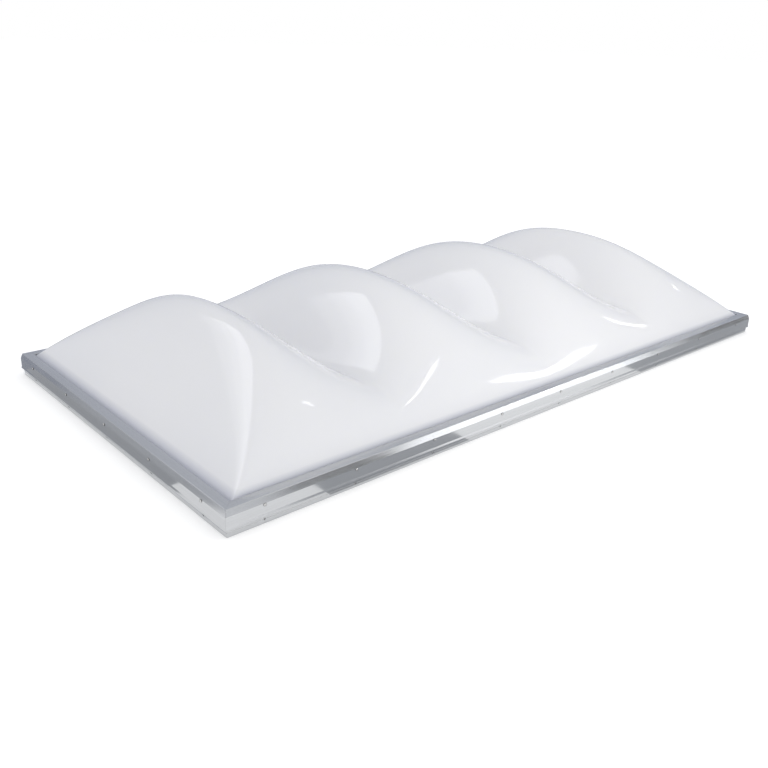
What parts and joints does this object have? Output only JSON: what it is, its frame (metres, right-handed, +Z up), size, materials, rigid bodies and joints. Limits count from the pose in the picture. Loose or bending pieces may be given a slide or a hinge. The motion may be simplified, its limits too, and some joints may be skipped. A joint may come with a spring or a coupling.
{
  "type": "roof skylight",
  "caption": "Curb-mounted roof skylight: a long white lobed acrylic double dome in a low mitred aluminium frame with a fixing skirt.",
  "frame": {"origin": "middle of the frame, level with the lower edge of its skirt", "axes": "+X along the long sides, +Y across towards the rear side, +Z up out of the roof"},
  "size_m": [2.5564, 1.3372, 0.368],
  "materials": {
    "opal_acrylic": "glossy translucent white",
    "clear_acrylic": "glossy clear",
    "frame_aluminium": "mill finish, as extruded",
    "key_aluminium": "mill finish, sawn edges",
    "gasket_rubber": "matt EPDM",
    "butyl_tape": "matt butyl",
    "washer_rubber": "matt EPDM",
    "screw_steel": "plain stainless"
  },
  "bodies": {
    "root": {"outer_dome": "opal_acrylic", "inner_dome": "clear_acrylic", "retainer_front": "frame_aluminium", "retainer_rear": "frame_aluminium", "retainer_left": "frame_aluminium", "retainer_right": "frame_aluminium", "retainer_key_1": "key_aluminium", "retainer_key_2": "key_aluminium", "retainer_key_3": "key_aluminium", "retainer_key_4": "key_aluminium", "curb_frame_front": "frame_aluminium", "curb_frame_rear": "frame_aluminium", "curb_frame_left": "frame_aluminium", "curb_frame_right": "frame_aluminium", "curb_frame_key_1": "key_aluminium", "curb_frame_key_2": "key_aluminium", "curb_frame_key_3": "key_aluminium", "curb_frame_key_4": "key_aluminium", "glazing_gasket": "gasket_rubber", "spacer_tape": "butyl_tape", "bed_gasket": "gasket_rubber", "curb_gasket_front": "gasket_rubber", "curb_gasket_rear": "gasket_rubber", "curb_gasket_left": "gasket_rubber", "curb_gasket_right": "gasket_rubber", "retainer_screws_front": "screw_steel", "retainer_screws_rear": "screw_steel", "retainer_screws_left": "screw_steel", "retainer_screws_right": "screw_steel", "sealing_washers_front": "washer_rubber", "sealing_washers_rear": "washer_rubber", "sealing_washers_left": "washer_rubber", "sealing_washers_right": "washer_rubber"}
  },
  "joints": []
}
